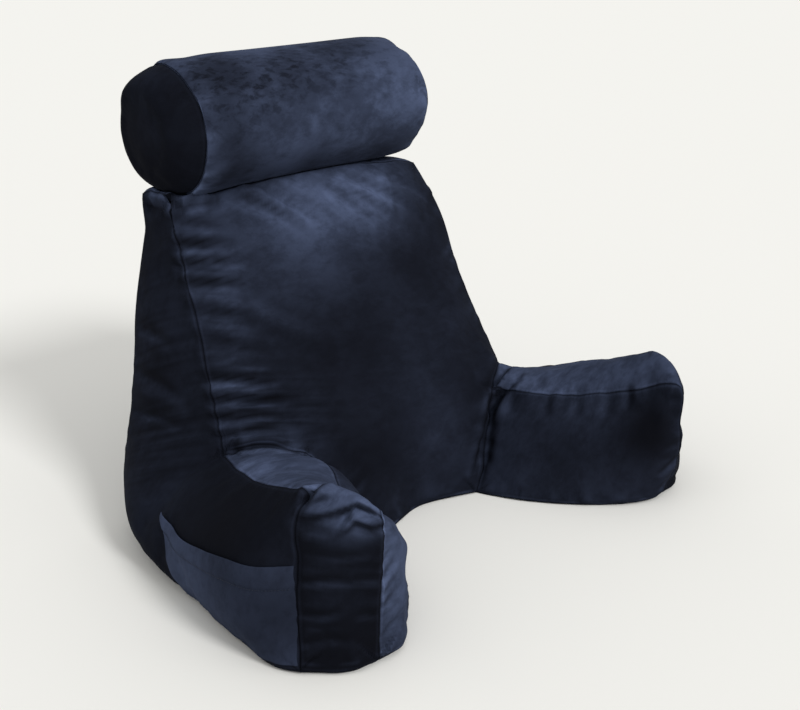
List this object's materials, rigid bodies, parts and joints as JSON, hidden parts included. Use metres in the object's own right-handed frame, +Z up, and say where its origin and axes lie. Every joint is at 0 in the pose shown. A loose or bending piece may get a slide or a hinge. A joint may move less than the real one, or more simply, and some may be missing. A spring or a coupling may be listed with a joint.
{
  "type": "reading pillow with arms",
  "caption": "Filled back-and-arms cushion for sitting up, with a reclined back, spreading arms, a side patch pocket and a neck roll on top.",
  "frame": {"origin": "centre of the footprint on the surface that the pillow rests on", "axes": "+Z up; +X across the pillow towards the arm without a pocket; -Y towards the sitter, out between the arms"},
  "size_m": [0.8096, 0.6, 0.6279],
  "materials": {
    "velour": "brushed velour pile",
    "pocket_velour": "brushed velour pile, lighter nap",
    "roll_velour": "brushed velour pile"
  },
  "bodies": {
    "root": {"cushion_body": "velour", "side_pocket": "pocket_velour", "neck_roll": "roll_velour"}
  },
  "joints": []
}
